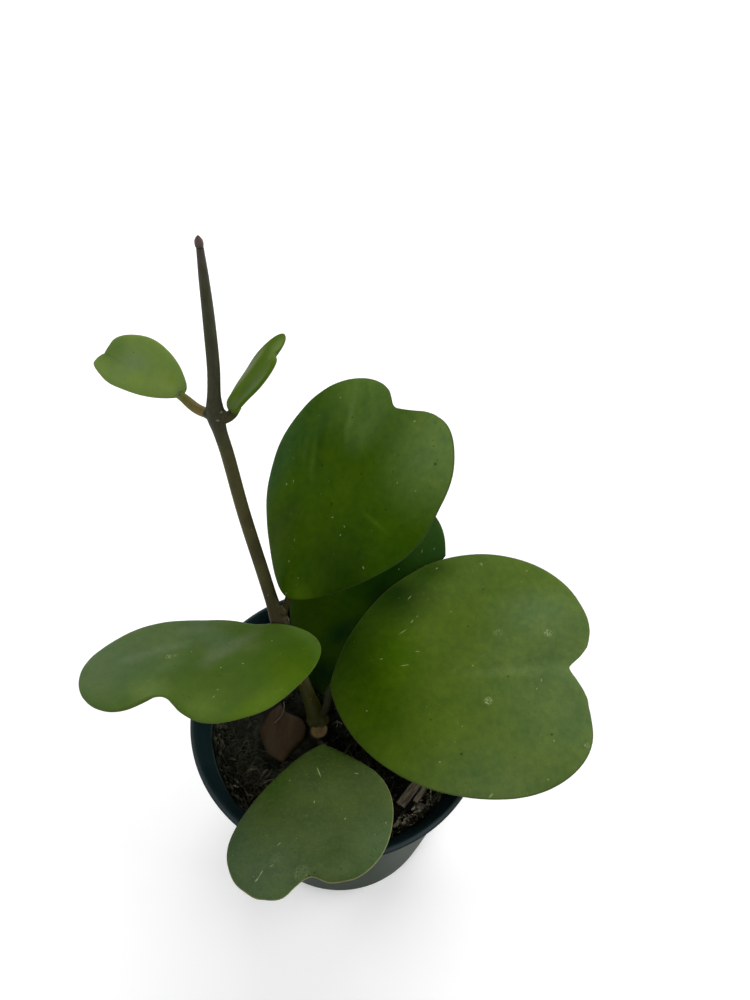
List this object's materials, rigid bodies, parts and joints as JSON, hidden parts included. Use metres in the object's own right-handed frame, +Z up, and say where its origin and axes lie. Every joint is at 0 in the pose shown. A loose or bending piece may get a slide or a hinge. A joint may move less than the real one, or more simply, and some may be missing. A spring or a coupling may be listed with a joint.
{
  "type": "potted sweetheart hoya",
  "caption": "Young trailing succulent vine with thick heart-shaped leaves on a slim stem, rooted in potting mix in a small round tapered nursery pot.",
  "frame": {"origin": "centre of the pot's base, on the surface that it stands on", "axes": "+Z up; +Y away from the viewer's side, towards the leaning shoot; +X to the viewer's right, towards the largest leaf"},
  "size_m": [0.1855, 0.1726, 0.2421],
  "materials": {
    "pot": "dark blue-grey moulded plastic with a soft sheen",
    "soil": "dark damp potting mix of bark and peat, rough and crumbly",
    "bark": "smooth reddish brown bark, dull",
    "chip": "pale weathered wood with ribbed grain",
    "grit": "dull grey grit",
    "stem": "olive brown young bark, faintly flecked",
    "leaf": "thick waxy dark green leaf with a soft satin sheen",
    "young_leaf": "thick waxy light green young leaf with a satin sheen"
  },
  "bodies": {
    "root": {"pot": "pot", "soil": "soil", "bark_chunk": "bark", "wood_chip_long": "chip", "wood_chip_short": "chip", "grit_pebble": "grit", "stem": "stem", "leaf_right": "leaf", "leaf_upper": "leaf", "leaf_left": "leaf", "leaf_front": "leaf", "leaf_behind": "leaf", "leaf_small_left": "young_leaf", "leaf_small_right": "young_leaf"}
  },
  "joints": []
}
